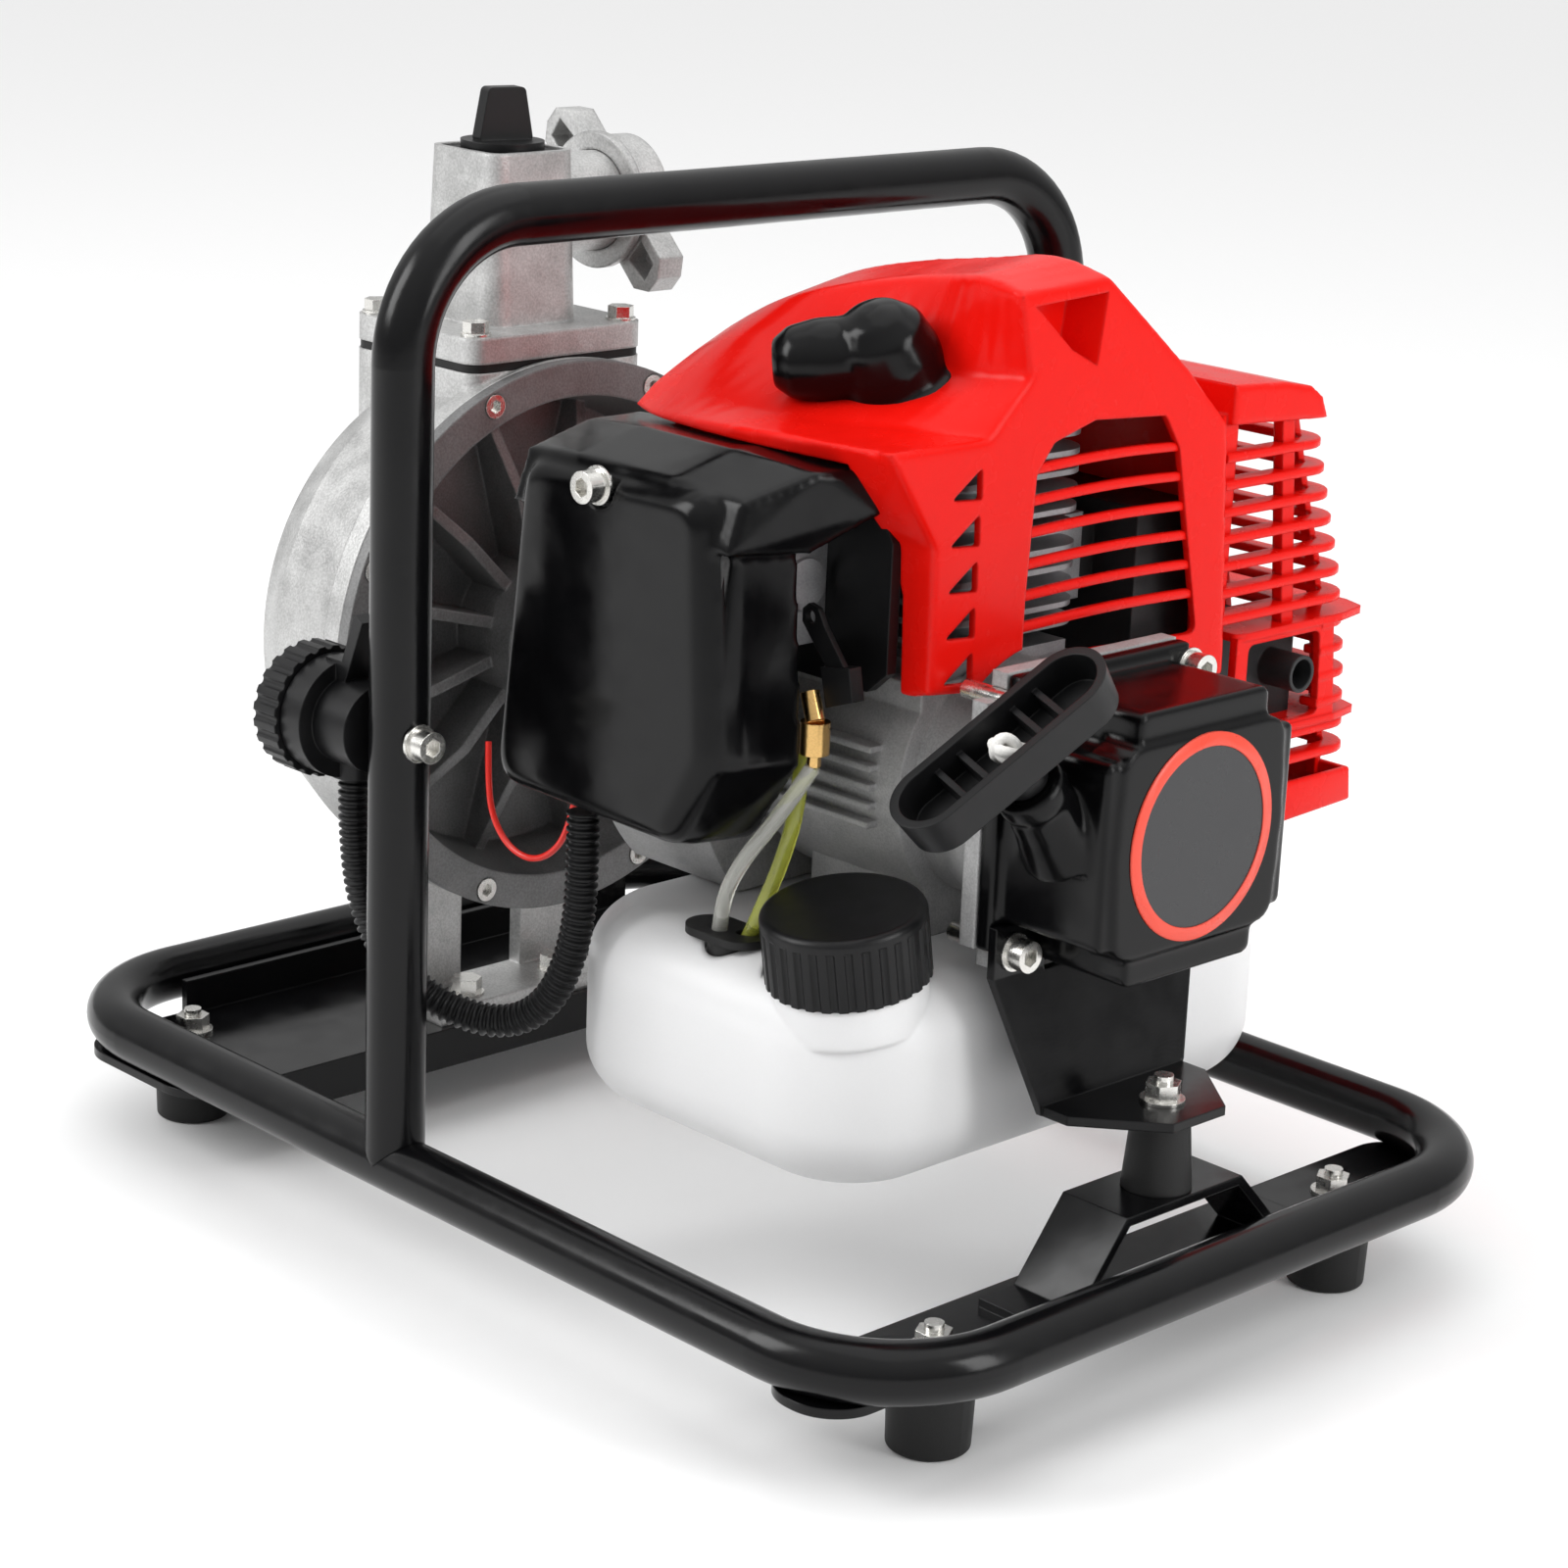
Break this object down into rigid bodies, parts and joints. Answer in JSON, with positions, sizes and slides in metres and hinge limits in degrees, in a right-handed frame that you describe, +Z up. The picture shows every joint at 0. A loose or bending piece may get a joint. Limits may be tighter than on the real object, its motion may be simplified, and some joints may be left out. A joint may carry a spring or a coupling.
{
  "type": "engine-driven water pump",
  "caption": "Small two-stroke engine driving a self-priming centrifugal pump with side outlet, in a bent-tube frame with feet and a carrying arch.",
  "frame": {"origin": "on the ground, midway under the base loop", "axes": "+Z up, +X along the crankshaft towards the recoil starter, -Y towards the carburettor and fuel cap"},
  "size_m": [0.427, 0.3303, 0.3579],
  "materials": {
    "black_steel": "gloss black powder coat",
    "pump_aluminium": "grainy silver-painted casting",
    "engine_casting": "dark grey die casting",
    "dark_casting": "grainy grey casting",
    "fin_aluminium": "raw casting",
    "red_plastic": "bright red gloss moulding",
    "black_gloss": "black gloss moulding",
    "black_matte": "black satin moulding",
    "tank_plastic": "milky translucent polyethylene",
    "zinc": "bright zinc plated",
    "steel": "machined steel",
    "black_rubber": "moulded rubber",
    "brass": "brass fitting and filter",
    "clear_hose": "clear fuel hose",
    "rope": "braided white cord",
    "foam": "open-cell foam",
    "exhaust_steel": "heat-resistant black",
    "red_wire": "red insulated wire"
  },
  "bodies": {
    "chassis": {"air_filter_base": "black_matte", "air_filter_cover": "black_gloss", "air_filter_element": "foam", "base_frame_loop": "black_steel", "carburettor": "fin_aluminium", "carry_handle": "black_steel", "connecting_rod": "steel", "crank_bearings": "steel", "crankcase": "engine_casting", "cylinder": "fin_aluminium", "engine_shroud": "red_plastic", "engine_support_bracket": "black_steel", "fan_housing": "engine_casting", "flange_nuts": "zinc", "front_cross_strap": "black_steel", "front_rubber_mount": "black_rubber", "fuel_filter": "brass", "fuel_lines": "clear_hose", "fuel_tank": "tank_plastic", "insulator_plate": "black_matte", "muffler": "exhaust_steel", "muffler_guard": "red_plastic", "outlet_elbow": "pump_aluminium", "piston": "fin_aluminium", "port_flange_bolts": "zinc", "pump_back_cover": "dark_casting", "pump_casing": "pump_aluminium", "pump_foot_bolts": "zinc", "pump_rim_screws": "zinc", "rear_cross_channel": "black_steel", "recoil_cover": "black_gloss", "rubber_feet": "black_rubber", "rubber_seals": "black_rubber", "shaft_seal": "black_rubber", "socket_head_screws": "zinc", "spark_plug": "zinc", "spark_plug_boot": "black_rubber", "starter_spring": "steel", "stop_wire": "red_wire", "suction_inlet": "pump_aluminium", "throttle_conduit": "black_matte", "throttle_control": "black_matte", "volute_insert": "engine_casting"},
    "rotor": {"crankshaft": "steel", "flywheel_fan": "fin_aluminium", "impeller": "fin_aluminium"},
    "starter_reel": {"starter_reel": "black_matte", "starter_rope": "rope"},
    "starter_grip": {"starter_handle": "black_matte"},
    "fuel_cap_seal": {"fuel_cap_gasket": "black_rubber"},
    "fuel_cap": {"fuel_cap": "black_matte"},
    "priming_seal": {"priming_gasket": "black_rubber"},
    "priming_plug": {"priming_plug": "black_matte"},
    "outlet_nut": {"outlet_wing_nut": "pump_aluminium"},
    "suction_nut": {"suction_wing_nut": "pump_aluminium"},
    "check_valve": {"check_flap": "black_rubber"},
    "drain_plug": {"drain_plug": "black_matte"},
    "choke": {"choke_lever": "black_matte"},
    "throttle_arm": {"throttle_arm": "steel"},
    "throttle_dial": {"throttle_dial": "black_matte"}
  },
  "joints": [
    {"name": "shaft_spin", "type": "hinge", "parent": "chassis", "child": "rotor", "pos_m": [0, 0, 0.1715], "axis": [1, 0, 0], "continuous": true},
    {"name": "rope_pull", "type": "slide", "parent": "chassis", "child": "starter_grip", "axis": [0, -0.6429, 0.7659], "range_m": [0, 0.5], "stiffness_N_per_m": 16, "springref_m": -0.5},
    {"name": "reel_turn", "type": "hinge", "parent": "chassis", "child": "starter_reel", "pos_m": [0.159, 0, 0.1715], "axis": [1, 0, 0], "range_deg": [-1066.03, 0]},
    {"name": "fuel_cap_lift", "type": "slide", "parent": "chassis", "child": "fuel_cap_seal", "axis": [0, -0.1736, 0.9848], "range_m": [0, 0.006]},
    {"name": "fuel_cap_turn", "type": "hinge", "parent": "fuel_cap_seal", "child": "fuel_cap", "pos_m": [0.11, -0.07, 0.1225], "axis": [0, -0.1736, 0.9848], "range_deg": [0, 722]},
    {"name": "priming_plug_lift", "type": "slide", "parent": "chassis", "child": "priming_seal", "axis": [0, 0, 1], "range_m": [0, 0.004]},
    {"name": "priming_plug_turn", "type": "hinge", "parent": "priming_seal", "child": "priming_plug", "pos_m": [-0.1445, 0, 0.335], "axis": [0, 0, 1], "range_deg": [0, 722]},
    {"name": "outlet_nut_turn", "type": "hinge", "parent": "chassis", "child": "outlet_nut", "pos_m": [-0.1445, 0.05, 0.3165], "axis": [0, 1, 0], "range_deg": [0, 720]},
    {"name": "suction_nut_turn", "type": "hinge", "parent": "chassis", "child": "suction_nut", "pos_m": [-0.2, 0, 0.19], "axis": [-1, 0, 0], "range_deg": [0, 720]},
    {"name": "check_flap_swing", "type": "hinge", "parent": "chassis", "child": "check_valve", "pos_m": [-0.1658, 0, 0.2095], "axis": [0, -1, 0], "range_deg": [0, 9]},
    {"name": "drain_plug_turn", "type": "hinge", "parent": "chassis", "child": "drain_plug", "pos_m": [-0.177, 0, 0.1], "axis": [-1, 0, 0], "range_deg": [0, 720]},
    {"name": "choke_turn", "type": "hinge", "parent": "chassis", "child": "choke", "pos_m": [0.085, -0.067, 0.228], "axis": [0, 1, 0], "range_deg": [-40, 0]},
    {"name": "throttle_dial_turn", "type": "hinge", "parent": "chassis", "child": "throttle_dial", "pos_m": [-0.055, -0.1442, 0.1805], "axis": [1, 0, 0], "range_deg": [0, 90]},
    {"name": "throttle_arm_turn", "type": "hinge", "parent": "chassis", "child": "throttle_arm", "pos_m": [0.062, -0.064, 0.2105], "axis": [0, 0, 1], "range_deg": [0, 60.5]}
  ],
  "couplings": [
    {"joint": "reel_turn", "follows": "rope_pull", "rad_per_m": -37.037},
    {"joint": "fuel_cap_turn", "follows": "fuel_cap_lift", "rad_per_m": 2094.4},
    {"joint": "priming_plug_turn", "follows": "priming_plug_lift", "rad_per_m": 3141.6},
    {"joint": "throttle_arm_turn", "follows": "throttle_dial_turn", "ratio": 0.66667}
  ]
}
